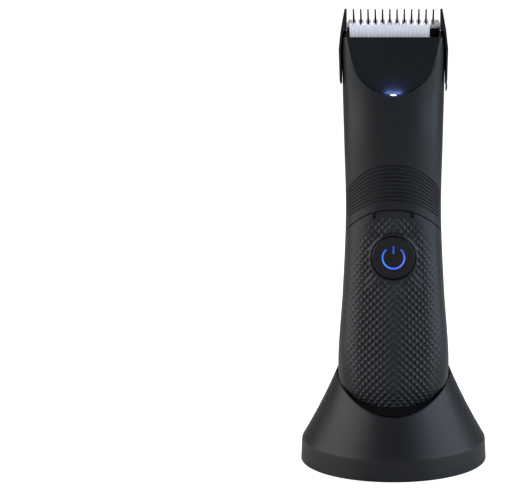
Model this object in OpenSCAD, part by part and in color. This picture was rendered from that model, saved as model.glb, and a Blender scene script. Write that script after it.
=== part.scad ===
// Cordless body groomer standing in its charging dock, with a guide comb on its blade head.
// Millimetres. +Z is up, -Y is the front, and the origin is the centre of the dock's foot.

/* [Handle] */
// Height of the handle's tail above the table
tail_z = 10; // [9.9:0.05:10.1]
// Height of the handle's front lip above the table
head_z = 157.2; // [156.8:0.1:157.6]
// Wall of the handle's casing
casing_wall = 1.6; // [1.4:0.1:1.8]
// Wall of the casing's thin top lip
lip_wall = 1.2; // [1.0:0.1:1.3]
// Gap between casing pieces along the side seam
seam_gap = 0.2; // [0.1:0.05:0.3]

/* [Button] */
// Height of the button's centre
button_z = 79; // [78:0.2:80]
// Radius of the button's cap
button_r = 7.65; // [7.3:0.05:7.7]
// Travel of the button
button_travel = 0.8; // [0.5:0.1:0.9]

/* [Blades] */
// Tilt of the blades from the vertical
blade_tilt = 40; // [39:0.5:41]
// Width of the fixed blade
fixed_blade_w = 32.7; // [32.3:0.1:33]
// Spacing of the fixed blade's teeth
fixed_pitch = 1.26; // [1.2:0.02:1.3]
// Width of the moving blade
moving_blade_w = 28; // [27.6:0.2:28.2]
// Spacing of the moving blade's teeth
moving_pitch = 1.33; // [1.3:0.01:1.34]
// Throw of the motor's crank, half of the blade's stroke
crank = 1.35; // [1:0.05:1.4]

/* [Comb] */
// Spacing of the comb's teeth
comb_pitch = 2.55; // [2.45:0.01:2.6]
// Thickness of one comb tooth
comb_tooth_w = 0.52; // [0.4:0.02:0.6]

/* [Dock] */
// Radius of the dock's foot band
dock_r = 34.8; // [34.5:0.1:35]
// Height of the crease between the band and the skirt
crease_z = 8.75; // [8.5:0.05:9]
// Wall of the dock's shell
dock_wall = 1.9; // [1.7:0.1:2.1]
// Gap between the handle and the dock's cup
cup_gap = 0.35; // [0.3:0.05:0.4]

/* [Hidden] */
$fn = 48;
eps = 0.01;

// Handle sections: height, half width, half depth, centre Y, superellipse exponent
stations = [
    [tail_z, 20, 15.2, -7.9, 2.2],
    [40, 20.4, 15.2, -7.3, 2.2],
    [66, 18.65, 15.2, -5.4, 2.2],
    [94, 17.45, 15.4, -4.75, 2.3],
    [122, 17.9, 16.1, -6.9, 2.5],
    [140, 18.25, 16.6, -8.0, 2.8],
    [158, 18.1, 16.8, -9.1, 4.5],
    [164, 17.6, 16.6, -9.5, 4.6]
];
dome_top = 40;
dome_exp = 2.4;
dome_len = dome_top - tail_z + 0.8;
section_steps = 36;
loft_top = 163;

// Parting arch between the grip panel and the neck, in the front view
arch_z = 96.3;
arch_r = 21.9;

// Side view of the blade head
tip_yz = [-22, 163.4];
fixed_t = 0.8;
fixed_len = 14;
moving_t = 1.3;
moving_recess = 0.9;
moving_len = 8.6;
blade_gap = 0.06;
moving_v = fixed_t + blade_gap;
chamfer_front = [-13, 159];
chamfer_back = [6.4, 140.3];
carrier_t = 3;
screw_u = -12;
screw_x = 11.5;

// Drive
motor_y = -7.5;
motor_r = 10;
motor_z = 98;
motor_top = 126;
shaft_r = 1.15;
pin_r = 0.75;
pin_top = 142;
slot_half = 3.55;

// Power pack
battery_y = -4;
battery_r = 7;
battery_z = 32;
battery_len = 50;
pcb_front = -12.8;
pcb_t = 1.6;

// Dock
foot_h = 0.6;
mouth_r = 71;
mouth_y = 16;
mouth_top = 36.6;
deck_drop = 1.2;
deck_t = 1.8;
cup_floor = 9.8;
floor_t = 1.6;
contact_x = 2.9;
contact_y = -7.9;
post_xy = 19;

function lerp(a, b, t) = a + (b - a) * t;
function slope(i, k) =
    let (p = max(i - 1, 0), q = min(i + 1, len(stations) - 1))
    (stations[q][k] - stations[p][k]) / (stations[q][0] - stations[p][0]);
function span_of(z, i = 0) =
    i >= len(stations) - 2 || z < stations[i + 1][0] ? i : span_of(z, i + 1);
// Smooth curve through column k of the stations at height z
function at(z, k) =
    let (i = span_of(z), a = stations[i], b = stations[i + 1], h = b[0] - a[0], t = (z - a[0]) / h)
    (2 * t ^ 3 - 3 * t ^ 2 + 1) * a[k] + (t ^ 3 - 2 * t ^ 2 + t) * h * slope(i, k)
    + (3 * t ^ 2 - 2 * t ^ 3) * b[k] + (t ^ 3 - t ^ 2) * h * slope(i + 1, k);
// Shrink of the section over the rounded tail
function dome(z, inset) =
    z >= dome_top ? 1
    : (1 - min(((dome_top - z) / (dome_len - inset)) ^ dome_exp, 1)) ^ (1 / dome_exp);
function signed_pow(v, e) = sign(v) * abs(v) ^ e;
function section(z, inset) =
    let (e = 2 / at(z, 4), s = dome(z, inset),
        a = (at(z, 1) - inset) * s, c = (at(z, 2) - inset) * s)
    [for (i = [0:section_steps - 1])
        let (t = 360 * i / section_steps)
        [a * signed_pow(cos(t), e), at(z, 3) + c * signed_pow(sin(t), e)]];
// Heights of the slices, close together over the rounded tail
function slices(from, to) = concat(
    [for (i = [0:5]) let (z = dome_top - (dome_top - from) * cos(90 * i / 6)) if (from < dome_top) z],
    from < dome_top ? [] : [from],
    [for (z = [dome_top:10:to - 4]) if (z > from + 4) z], [to]);
function dock_skirt(z) = dock_r - 0.4 - 0.6 * (z - crease_z) + 0.0035 * (z - crease_z) ^ 2;

// The handle's outer form, moved in by inset, between two heights
module handle_form(inset, from = tail_z, to = loft_top) {
    zs = slices(from, to);
    n = section_steps;
    last = len(zs) - 1;
    polyhedron(
        points = [for (z = zs) for (p = section(z, inset)) [p[0], p[1], z]],
        faces = concat(
            [[for (i = [0:n - 1]) i]],
            [for (k = [0:last - 1]) for (i = [0:n - 1]) let (a = k * n + i, b = k * n + (i + 1) % n)
                each [[a, a + n, b], [b, a + n, b + n]]],
            [[for (i = [n - 1:-1:0]) last * n + i]]));
}

// Everything in front of the side seam, or behind it
module seam_side(front, gap = seam_gap / 2) {
    reach = 40;
    zs = slices(tail_z, loft_top);
    for (i = [0:len(zs) - 2]) hull() for (z = [zs[i], zs[i + 1]])
        translate([-reach, front ? at(z, 3) - gap - reach : at(z, 3) + gap, z])
            cube([2 * reach, reach, eps]);
}

// Side-view outline in Y and Z, extruded across the object
module across(half_w) {
    rotate([90, 0, 90]) translate([0, 0, -half_w]) linear_extrude(2 * half_w) children();
}

// Blade frame: X across, Y towards the blade's inner side, Z towards the tips
module blade_frame() {
    translate([0, tip_yz[0], tip_yz[1]]) rotate([blade_tilt, 0, 0]) mirror([0, 1, 0]) children();
}

// A point on the chamfer plane, s along it from its front end and n outwards
function chamfer_at(s, n) =
    let (d = chamfer_back - chamfer_front, e = d / norm(d))
    chamfer_front + s * e + n * [-e[1], e[0]];
chamfer_len = norm(chamfer_back - chamfer_front);

// Everything outside the chamfer plane, moved out by n
module above_chamfer(n) {
    across(30) polygon([chamfer_at(-12, n), chamfer_at(50, n), chamfer_at(50, 60), chamfer_at(-12, 60)]);
}

// The space under the parting arch, as a disc seen from the front
module arch_space(grow) {
    translate([0, 5, arch_z - arch_r]) rotate([90, 0, 0]) cylinder(r = arch_r + grow, h = 60, $fn = 96);
    translate([-30, -50, 0]) cube([60, 60, arch_z - arch_r + 12 + grow]);
}

module casing() {
    difference() {
        handle_form(0);
        handle_form(casing_wall, tail_z + casing_wall, 137);
        handle_form(lip_wall, 136, loft_top);
        translate([-30, -40, head_z]) cube([60, 60, 20]);
        above_chamfer(-carrier_t - 0.3);
        translate([0, contact_y, 0]) cylinder(r = 4.6, h = 12.2);
    }
}

module rear_shell() {
    color([0.05, 0.05, 0.055]) {
        intersection() {
            casing();
            seam_side(false);
        }
        for (x = [-6, 6]) boss(x, 88, 5.2, 7.4);
        for (x = [-5, 5]) boss(x, 21, -0.4, 2.3);
    }
}

// Screw boss on the rear shell's inner face
module boss(x, z, y0, y1) {
    translate([x, y1, z]) rotate([90, 0, 0]) difference() {
        translate([0, 0, -1.4]) cylinder(r = 2.2, h = y1 - y0 + 1.4);
        translate([0, 0, -0.4]) cylinder(r = 1.0, h = y1 - y0 + 1);
    }
}

module neck_shell() {
    color([0.04, 0.04, 0.045]) difference() {
        union() {
            intersection() {
                casing();
                seam_side(true);
            }
            intersection() {
                handle_form(0, tail_z, head_z);
                scoop_space(lip_wall);
                seam_side(true);
            }
        }
        arch_space(0.1);
        scoop_space(0);
        for (i = [0:9]) rib_groove(99.8 + i * 1.38);
        lens_space();
    }
}

// Half width of the scoop, h above its bottom, is that of an ellipse
module scoop_space(grow) {
    bottom = 136.9;
    height = 21;
    half_w = 17;
    steps = 8;
    for (i = [0:steps - 1]) hull() for (k = [i, i + 1])
        let (h = height * (1 - cos(90 * k / steps)), w = half_w * sin(90 * k / steps))
        translate([-w - grow, -40, bottom + h - grow]) cube([2 * (w + grow) + eps,
            40 - 22.9 + lerp(0, 0.3, k / steps) + grow, eps]);
}

module rib_groove(z) {
    r = 20.4;
    drop = 13;
    intersection() {
        translate([0, 0, z - r]) rotate([90, 0, 0]) difference() {
            cylinder(r = r + 0.3, h = 40, $fn = 40);
            translate([0, 0, -1]) cylinder(r = r - 0.3, h = 42, $fn = 40);
        }
        translate([-30, -50, z - drop]) cube([60, 60, drop + 5]);
        difference() {
            handle_form(-1, z - 15, z + 4);
            handle_form(0.4, z - 16, z + 5);
        }
    }
}

module lens_space() {
    translate([-1.6, -26, 135.9]) cube([3.2, 5, 1.5]);
}

module grip_panel() {
    color([0.06, 0.06, 0.065]) difference() {
        union() {
            intersection() {
                casing();
                seam_side(true);
                arch_space(-0.1);
            }
            translate([0, -14.8, button_z]) rotate([90, 0, 0]) cylinder(r = 9.6, h = 3.6);
        }
        translate([0, -10, button_z]) rotate([90, 0, 0]) cylinder(r = button_r + 0.4, h = 20);
        for (x = [-6.7, 6.7]) translate([x - 0.6, -25, arch_at(x) - 1.4]) cube([1.2, 10, 3]);
    }
}
function arch_at(x) = arch_z - arch_r + sqrt(arch_r ^ 2 - x ^ 2);

module contact_plate() {
    color([0.08, 0.08, 0.085]) difference() {
        translate([0, contact_y, tail_z]) cylinder(r = 4.5, h = 2);
        for (x = [-contact_x, contact_x])
            translate([x, contact_y, tail_z - 1]) cylinder(r = 1.2, h = 4);
    }
}

module charge_contacts() {
    color([0.85, 0.7, 0.4]) for (x = [-contact_x, contact_x])
        translate([x, contact_y, tail_z]) {
            cylinder(r = 1.2, h = 2.6);
            translate([0, 0, 2]) cylinder(r = 1.5, h = 0.6);
        }
}

module body_gasket() {
    half_h = 0.8;
    color([0.1, 0.1, 0.11]) difference() {
        handle_form(casing_wall + 0.1, 12.4, 134);
        handle_form(casing_wall + 1, 13.4, 135);
        seam_side(true, half_h);
        seam_side(false, half_h);
        translate([0, contact_y, 0]) cylinder(r = 5, h = 16);
    }
}

module screw(head_r, head_h, r, len) {
    translate([0, 0, -head_h]) difference() {
        cylinder(r = head_r, h = head_h);
        translate([0, 0, -eps]) cylinder(r = head_r * 0.45, h = head_h * 0.5, $fn = 6);
    }
    cylinder(r = r, h = len);
}

module housing_screws() {
    color([0.6, 0.6, 0.62]) {
        for (x = [-6, 6]) translate([x, 3.6, 88]) rotate([-90, 0, 0]) screw(1.9, 1.4, 1, 4);
        for (x = [-5, 5]) translate([x, -2, 21]) rotate([-90, 0, 0]) screw(1.9, 1.4, 1, 3.9);
    }
}

module chassis() {
    cradle_r = battery_r + 0.1;
    rail_w = 1.4;
    cradle_h = battery_len + 5;
    pcb_back = pcb_front + pcb_t;
    color([0.75, 0.75, 0.72]) difference() {
        union() {
            difference() {
                translate([0, battery_y, battery_z - 2.4]) cylinder(r = cradle_r + rail_w, h = cradle_h);
                translate([0, battery_y, battery_z - 0.9]) cylinder(r = cradle_r, h = cradle_h - 3);
                translate([-10, battery_y - 22, 20]) cube([20, 20, 80]);
            }
            for (s = [-1, 1]) translate([s > 0 ? cradle_r : -cradle_r - rail_w, pcb_back, battery_z - 2.4])
                cube([rail_w, battery_y - pcb_back, cradle_h]);
            translate([-9, 0, 84.5]) cube([18, 5.2, 1.6]);
            translate([-9, 3.6, 84.5]) cube([18, 1.6, 11.5]);
            translate([-8, -2, 18.5]) cube([16, 1.6, 11.5]);
        }
        for (x = [-6, 6]) translate([x, 0, 88]) rotate([-90, 0, 0]) cylinder(r = 1.0, h = 10);
        for (x = [-5, 5]) translate([x, -4, 21]) rotate([-90, 0, 0]) cylinder(r = 1.0, h = 8);
    }
}

module main_pcb() {
    color([0.05, 0.3, 0.15]) {
        translate([-9.5, pcb_front, 24]) cube([19, pcb_t, 70]);
        for (z = [34, 46]) translate([-4, pcb_front - 1.2, z]) cube([8, 1.2, 5]);
    }
}

module tact_switch() {
    color([0.3, 0.3, 0.32]) translate([0, pcb_front, button_z]) {
        translate([-3, -2.5, -3]) cube([6, 2.5, 6]);
        rotate([90, 0, 0]) cylinder(r = 1.6, h = 3.1);
    }
}

module button_led() {
    color([0.8, 0.85, 1]) translate([-1, pcb_front - 1.1, button_z + 4]) cube([2, 1.1, 1.6]);
}

module button_seal() {
    color([0.12, 0.12, 0.13]) translate([0, -15.9, button_z]) rotate([90, 0, 0]) difference() {
        cylinder(r = button_r + 0.3, h = 0.5);
        translate([0, 0, -1]) cylinder(r = 2.2, h = 3);
    }
}

module battery() {
    color([0.2, 0.45, 0.3]) translate([0, battery_y, battery_z]) {
        cylinder(r = battery_r, h = battery_len - 1.2);
        cylinder(r = 2.6, h = battery_len);
    }
}

module battery_tabs() {
    color([0.8, 0.8, 0.78]) for (z = [battery_z - 0.8, battery_z + battery_len])
        translate([-2.5, battery_y - 5.5, z]) cube([5, 8, 0.6]);
}

module motor_can() {
    color([0.7, 0.7, 0.72]) translate([0, motor_y, 0]) difference() {
        union() {
            translate([0, 0, motor_z]) cylinder(r = motor_r, h = motor_top - motor_z);
            translate([0, 0, motor_top]) cylinder(r = 3, h = 1.6);
        }
        translate([0, 0, 116]) cylinder(r = shaft_r + 0.05, h = 20);
    }
}

module motor_leads() {
    color([0.7, 0.1, 0.1]) for (x = [-4, 4])
        translate([x, pcb_front + pcb_t / 2, 94]) cylinder(r = 0.6, h = motor_z - 94);
}

module motor_bracket() {
    color([0.72, 0.72, 0.7]) difference() {
        translate([0, motor_y, motor_top]) cylinder(r = 13.6, h = 2);
        translate([0, motor_y, motor_top - 1]) cylinder(r = 3, h = 5);
    }
}

module motor_seal() {
    color([0.15, 0.15, 0.15]) difference() {
        translate([0, motor_y, motor_top + 2]) cylinder(r = 4.5, h = 2.5);
        translate([0, motor_y, motor_top]) cylinder(r = shaft_r + 0.1, h = 8);
    }
}

module spotlight_led() {
    color([0.95, 0.95, 1]) translate([-1.5, -21, 135.2]) cube([3, 1.5, 1.7]);
}

module led_lens() {
    color([0.8, 0.9, 1]) translate([-1.6, -24.3, 135.9]) cube([3.2, 3.3, 1.5]);
}

// Ring broken at the top with a bar through the break, from the front, grown by g
module power_mark(g, depth) {
    ring_r = 3.9;
    line_w = 0.75 + 2 * g;
    break_deg = 40;
    rotate([90, 0, 0]) {
        rotate([0, 0, 90 + break_deg]) rotate_extrude(angle = 360 - 2 * break_deg)
            translate([ring_r - line_w / 2, 0]) square([line_w, depth]);
        translate([-line_w / 2, 1.5 - g, 0]) cube([line_w, 2.75 + 2 * g, depth]);
    }
}

module power_button() {
    front = -19.85;
    color([0.05, 0.05, 0.055]) difference() {
        union() {
            translate([0, -17.4, button_z]) rotate([90, 0, 0]) cylinder(r = button_r, h = -17.4 - front);
            translate([0, -16.85, button_z]) rotate([90, 0, 0]) cylinder(r = 1.4, h = 1);
        }
        translate([0, front + 0.8, button_z]) power_mark(0, 1);
    }
}

module power_symbol() {
    color([0.2, 0.35, 1]) translate([0, -19.05, button_z]) power_mark(0, 0.8);
}

module motor_shaft() {
    color([0.8, 0.8, 0.82]) translate([0, motor_y, 118]) cylinder(r = shaft_r, h = 18);
}

module eccentric_cam() {
    color([0.9, 0.9, 0.88]) translate([0, motor_y, 0]) difference() {
        union() {
            translate([0, 0, 132]) cylinder(r = 3.6, h = 4.4);
            translate([-crank, 0, 136]) cylinder(r = pin_r, h = pin_top - 136);
        }
        translate([0, 0, 131]) cylinder(r = shaft_r, h = 5);
    }
}

module blade_carrier() {
    color([0.05, 0.05, 0.05]) difference() {
        union() {
            across(16.05) carrier_outline();
            intersection() {
                handle_form(0.15, 120, 160.5);
                union() {
                    carrier_plate(17.5, 0.3, 8);
                    carrier_plate(20, 6, chamfer_len + 6);
                }
            }
            for (s = [-1, 1]) blade_frame() translate([s > 0 ? 15.7 : -16.05, -2, -13.8]) {
                cube([0.35, 3.9, 4.6]);
                translate([0, 2.9, 0.5]) cube([0.35, 0.6, 10.7]);
            }
        }
        blade_frame() for (s = [-1, 1]) translate([s * screw_x, 1, screw_u])
            rotate([90, 0, 0]) cylinder(r = 0.9, h = 3.5);
        blade_frame() translate([-15.6, 0, -16]) cube([31.2, 3, 14]);
    }
}

// The carrier's plate under the chamfer, from s0 to s1 along it
module carrier_plate(half_w, s0, s1) {
    across(half_w) polygon([chamfer_at(s0, 0), chamfer_at(s0, -carrier_t), chamfer_at(s1, -carrier_t),
        chamfer_at(s1, 0)]);
}

// The plate with the thick front end that the blade is screwed to
module carrier_outline() {
    polygon([chamfer_at(12, 0), chamfer_front, [-14.6, 159.1], [-15.7, 158.2], skin_at(8.9, 0.4),
        skin_at(14.5, 0.4), chamfer_at(5, -carrier_t), chamfer_at(12, -carrier_t)]);
}
// A point s below the blade's tips and v inwards of the fixed blade's skin face
function skin_at(s, v) = tip_yz + s * [sin(blade_tilt), -cos(blade_tilt)]
    - v * [cos(blade_tilt), sin(blade_tilt)];

module fixed_blade() {
    teeth = 26;
    tooth_len = 2.6;
    slot = 0.62;
    half_w = fixed_blade_w / 2;
    color([0.55, 0.55, 0.56]) blade_frame() difference() {
        union() {
            translate([-half_w, 0, -6.6]) cube([fixed_blade_w, fixed_t, 6.6]);
            translate([-15.5, 0, -fixed_len]) cube([31, fixed_t, fixed_len - 6]);
        }
        for (i = [0:teeth]) translate([(i - teeth / 2) * fixed_pitch - slot / 2, -1, -tooth_len])
            cube([slot, 3, tooth_len + 1]);
        for (s = [-1, 1]) translate([s * screw_x, 3, screw_u]) rotate([90, 0, 0]) cylinder(r = 0.9, h = 5);
    }
}

module moving_blade() {
    teeth = 21;
    tooth_len = 1.8;
    slot = 0.6;
    color([0.93, 0.93, 0.9]) blade_frame() translate([-crank, moving_v, -moving_recess]) difference() {
        translate([-moving_blade_w / 2, 0, -moving_len]) cube([moving_blade_w, moving_t, moving_len]);
        for (i = [0:teeth]) translate([(i - teeth / 2) * moving_pitch - slot / 2, -1, -tooth_len])
            cube([slot, 4, tooth_len + 1]);
        for (i = [0:teeth]) translate([(i - teeth / 2) * moving_pitch - slot / 2, moving_t - 0.3, -6])
            cube([slot, 1, 6]);
    }
}

module drive_yoke() {
    v0 = moving_v + moving_t;
    color([0.15, 0.15, 0.16]) translate([-crank, 0, 0]) difference() {
        union() {
            blade_frame() {
                translate([-7, v0, -24.5]) cube([14, 1.5, 18]);
                translate([-7, v0 - 0.9, -20]) cube([14, 0.9, 9.4]);
            }
            translate([-6.8, motor_y - 3.2, 137.4]) cube([13.6, 6.4, 6.8]);
        }
        translate([-slot_half, motor_y - 6, 136]) cube([2 * slot_half, 12, pin_top + 0.5 - 136]);
    }
}

module blade_spring() {
    v = moving_v + moving_t + 1.6;
    color([0.7, 0.7, 0.72]) blade_frame() difference() {
        union() {
            translate([-10.2, v, -13.2]) cube([20.4, 0.35, 2.2]);
            for (s = [-1, 1]) {
                translate([s > 0 ? 9.85 : -10.2, fixed_t, -13.2]) cube([0.35, v - fixed_t + 0.35, 2.2]);
                translate([s > 0 ? 9.85 : -13.4, fixed_t, -13.8]) cube([3.55, 0.35, 3.4]);
            }
        }
        for (s = [-1, 1]) translate([s * screw_x, 3, screw_u]) rotate([90, 0, 0]) cylinder(r = 0.9, h = 5);
    }
}

module blade_screws() {
    color([0.5, 0.5, 0.52]) blade_frame() for (s = [-1, 1])
        translate([s * screw_x, fixed_t + 0.35, screw_u]) rotate([90, 0, 0]) screw(1.25, 1.1, 0.9, 3);
}

module guide_comb() {
    color([0.07, 0.07, 0.07]) {
        comb_back();
        for (i = [-5.5:5.5]) translate([i * comb_pitch, 0, 0]) across(comb_tooth_w / 2) comb_tooth();
        for (s = [-1, 1]) comb_side(s);
        translate([18.65, -12.5, 138]) cube([0.9, 4, 4]);
    }
}

// Plate that lies over the blade carrier
module comb_back() {
    comb_plate(18.2, 0.6, 5);
    comb_plate(18.7, 3.2, 25);
}

module comb_plate(half_w, s0, s1) {
    across(half_w) polygon([chamfer_at(s0, 0.4), chamfer_at(s0, 1.6), chamfer_at(s1, 1.6),
        chamfer_at(s1, 0.4)]);
}

// Side view of one comb tooth, from the back plate over the blades
module comb_tooth() {
    polygon([chamfer_at(2.8, 0.4), chamfer_at(2.8, 1.5), [-12.6, 162.2], [-15.2, 164.7], [-18, 166.5],
        [-20.2, 167.1], [-20.6, 166.5], [-19.2, 165.2], [-17.2, 163.1], [-15, 161], chamfer_at(0.6, 0.4)]);
}

// Side wall and clip arm, wider lower down
module comb_side(s) {
    inner = [[167, 16.4], [159.5, 17.95], [153, 18.45], [143, 18.45], [140.8, 18.45]];
    outer = [[167, 17.2], [159.5, 18.6], [153, 19.4], [143, 19.4], [140.8, 19.1]];
    intersection() {
        translate([0, 20, 0]) rotate([90, 0, 0]) linear_extrude(50) polygon(concat(
            [for (p = inner) [s * p[1], p[0]]], [for (i = [len(outer) - 1:-1:0]) [s * outer[i][1], outer[i][0]]]));
        across(30) polygon([[-20.2, 167.2], [-21.2, 164], [-20.2, 158], [-17.5, 150], [-16.2, 142.4],
            [-14.6, 140.8], [-8.4, 140.8], [-7, 142.4], [-4.5, 146.2], [1, 146.2], chamfer_at(24, 1.6),
            chamfer_at(2.8, 1.6), [-12.6, 162.2], [-15.2, 164.7], [-18, 166.6]]);
    }
}

// Solid of revolution under the dock's skirt, moved in by inset
module dock_form(inset) {
    top = 40;
    steps = 14;
    rotate_extrude($fn = 96) polygon(concat(
        [[0, foot_h], [dock_r - inset - 0.3, foot_h], [dock_r - inset, foot_h + 0.5], [dock_r - inset - 0.4, crease_z]],
        [for (i = [1:steps]) let (z = lerp(crease_z, top, i / steps)) [dock_skirt(z) - inset, z]],
        [[0, top]]));
}

// Everything under the dock's mouth surface, lowered by drop
module below_mouth(drop) {
    translate([-40, mouth_y, mouth_top - mouth_r - drop]) rotate([0, 90, 0]) cylinder(r = mouth_r, h = 80, $fn = 160);
}

module dock_shell() {
    post_r = 3;
    color([0.05, 0.05, 0.055]) difference() {
        union() {
            intersection() {
                difference() {
                    dock_form(0);
                    dock_form(dock_wall);
                    translate([0, 0, -1]) cylinder(r = 33.1, h = 3.8, $fn = 96);
                }
                below_mouth(0);
            }
            intersection() {
                for (a = [45:90:315]) rotate([0, 0, a]) translate([post_xy * sqrt(2), 0, 2.8])
                    cylinder(r = post_r, h = 14);
                dock_form(dock_wall / 2);
            }
        }
        for (a = [45:90:315]) rotate([0, 0, a]) translate([post_xy * sqrt(2), 0, 2]) cylinder(r = 1.2, h = 7);
        translate([-4.7, 28, 2.9]) cube([9.4, 10, 3.6]);
        handle_form(-cup_gap, cup_floor, 46);
    }
}

// Matte liner: a deck under the rim, with a cup that follows the handle's tail
module dock_cup() {
    color([0.06, 0.06, 0.06]) difference() {
        union() {
            intersection() {
                dock_form(dock_wall + 0.1);
                below_mouth(deck_drop);
                difference() {
                    translate([-40, -40, 9]) cube([80, 80, 40]);
                    below_mouth(deck_drop + deck_t);
                }
            }
            intersection() {
                handle_form(-cup_gap - 1.6, cup_floor - floor_t, 45);
                dock_form(dock_wall + 0.1);
                below_mouth(deck_drop + 0.2);
                translate([-40, -40, cup_floor - floor_t]) cube([80, 80, 40]);
            }
        }
        handle_form(-cup_gap, cup_floor, 46);
        translate([-6, contact_y - 3, 5]) cube([12, 6, 8]);
    }
}

module dock_base_plate() {
    color([0.1, 0.1, 0.1]) difference() {
        translate([0, 0, foot_h]) cylinder(r = 33, h = 2);
        difference() {
            translate([0, 0, 0]) cylinder(r = 31, h = 1.4);
            translate([0, 0, -1]) cylinder(r = 29, h = 4);
        }
        for (a = [45:90:315]) rotate([0, 0, a]) translate([post_xy * sqrt(2), 0, 0]) {
            cylinder(r = 1.2, h = 5);
            cylinder(r = 1.9, h = 1.9);
        }
    }
}

module dock_foot_ring() {
    color([0.14, 0.14, 0.14]) difference() {
        cylinder(r = 31, h = 1.4, $fn = 96);
        translate([0, 0, -1]) cylinder(r = 29, h = 4, $fn = 96);
    }
}

module dock_screws() {
    color([0.6, 0.6, 0.62]) for (a = [45:90:315]) rotate([0, 0, a])
        translate([post_xy * sqrt(2), 0, 1.9]) screw(1.9, 1.2, 1.2, 6);
}

module dock_pcb() {
    color([0.05, 0.3, 0.15]) translate([-11, -14, 5.5]) cube([22, 40.8, 1.6]);
}

module dock_usb_inlet() {
    color([0.75, 0.75, 0.77]) difference() {
        translate([-4.6, 26.9, 2.95]) cube([9.2, 7.2, 3.5]);
        translate([-4.2, 27.6, 3.35]) cube([8.4, 8, 2.7]);
    }
    color([0.1, 0.1, 0.1]) translate([-3.4, 27.4, 4.4]) cube([6.8, 5, 0.6]);
}

module charge_pin_holder() {
    color([0.2, 0.2, 0.2]) difference() {
        translate([-5.95, contact_y - 2.95, 7.1]) cube([11.9, 5.9, 2.5]);
        for (x = [-contact_x, contact_x]) translate([x, contact_y, 6]) cylinder(r = 0.95, h = 5);
    }
}

module charge_pin(x) {
    color([0.9, 0.75, 0.35]) translate([x, contact_y, 8]) cylinder(r = 0.9, h = tail_z - 0.1 - 8);
}
module charge_pin_left() { charge_pin(-contact_x); }
module charge_pin_right() { charge_pin(contact_x); }

dock_shell();
dock_cup();
dock_base_plate();
dock_foot_ring();
dock_screws();
dock_pcb();
dock_usb_inlet();
charge_pin_holder();
charge_pin_left();
charge_pin_right();
rear_shell();
neck_shell();
grip_panel();
contact_plate();
charge_contacts();
body_gasket();
housing_screws();
chassis();
main_pcb();
tact_switch();
button_led();
button_seal();
battery();
battery_tabs();
motor_can();
motor_leads();
motor_bracket();
motor_seal();
spotlight_led();
led_lens();
power_button();
power_symbol();
motor_shaft();
eccentric_cam();
blade_carrier();
fixed_blade();
blade_spring();
blade_screws();
moving_blade();
drive_yoke();
guide_comb();
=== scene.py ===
"""Body groomer docked in its charging stand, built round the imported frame. Lengths are in
millimetres until mesh_from() scales them to metres; +Z is up and -Y is the front."""
import math

import bmesh
import bpy
import numpy as np
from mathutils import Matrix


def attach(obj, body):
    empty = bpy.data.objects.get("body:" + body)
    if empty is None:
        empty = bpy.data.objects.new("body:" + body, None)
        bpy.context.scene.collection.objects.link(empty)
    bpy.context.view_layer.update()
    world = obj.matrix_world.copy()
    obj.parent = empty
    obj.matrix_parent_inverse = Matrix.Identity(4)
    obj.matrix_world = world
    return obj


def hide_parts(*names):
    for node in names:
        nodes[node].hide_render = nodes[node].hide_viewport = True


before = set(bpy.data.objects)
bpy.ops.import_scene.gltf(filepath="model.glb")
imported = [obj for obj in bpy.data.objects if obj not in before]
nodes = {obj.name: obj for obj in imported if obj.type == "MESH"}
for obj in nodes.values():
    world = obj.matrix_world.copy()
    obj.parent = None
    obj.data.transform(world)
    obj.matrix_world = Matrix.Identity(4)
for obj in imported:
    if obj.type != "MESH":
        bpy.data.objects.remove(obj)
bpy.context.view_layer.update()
MM = 0.001


# ---------------------------------------------------------------- stage, camera and light
# A pale sweep of paper, a long lens looking slightly down, and two big soft side lights that
# leave a dark band down the middle of anything round.
def fill(node, socket, value):
    """Sets the value of a node's unlinked input."""
    node.inputs[socket].default_value = value


def link(tree, source, output, target, socket):
    """Joins one node's output to another's input."""
    tree.links.new(source.outputs[output], target.inputs[socket])


def stage_material():
    """White paper, lit so brightly that only the shadow right under the dock shows."""
    material = bpy.data.materials.new("paper_white")
    material.use_nodes = True
    tree = material.node_tree
    tree.nodes.clear()
    paper = tree.nodes.new("ShaderNodeBsdfDiffuse")
    fill(paper, "Color", (0.55, 0.55, 0.55, 1))
    glow = tree.nodes.new("ShaderNodeEmission")
    fill(glow, "Strength", 1.0)
    both = tree.nodes.new("ShaderNodeAddShader")
    ray = tree.nodes.new("ShaderNodeLightPath")
    either = tree.nodes.new("ShaderNodeMixShader")
    out = tree.nodes.new("ShaderNodeOutputMaterial")
    link(tree, paper, "BSDF", both, 0)
    link(tree, glow, "Emission", both, 1)
    link(tree, ray, "Is Camera Ray", either, 0)
    link(tree, paper, "BSDF", either, 1)
    link(tree, both, "Shader", either, 2)
    link(tree, either, "Shader", out, "Surface")
    return material


def paper_sweep(half_width=2.5, front=-2.5, back=1.2, rise=2.4, bend=0.8):
    """Floor that curves up into a backdrop: a straight run, a quarter circle and a wall."""
    turn = np.linspace(0, math.pi / 2, 24)
    run = np.concatenate([[front], back + bend * np.sin(turn), [back + bend]])
    height = np.concatenate([[0], bend * (1 - np.cos(turn)), [rise]])
    side = np.array([-half_width, half_width])
    points = np.stack(np.broadcast_arrays(side[None, :], run[:, None], height[:, None]), -1)
    cells = np.arange(run.size * 2).reshape(-1, 2)
    quads = np.stack([cells[:-1, 0], cells[:-1, 1], cells[1:, 1], cells[1:, 0]], -1)
    mesh = bpy.data.meshes.new("paper_sweep")
    mesh.from_pydata(points.reshape(-1, 3).tolist(), [], quads.tolist())
    mesh.polygons.foreach_set("use_smooth", [True] * len(mesh.polygons))
    mesh.materials.append(stage_material())
    sweep = bpy.data.objects.new("paper_sweep", mesh)
    bpy.context.scene.collection.objects.link(sweep)
    return sweep


paper_sweep()

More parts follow.
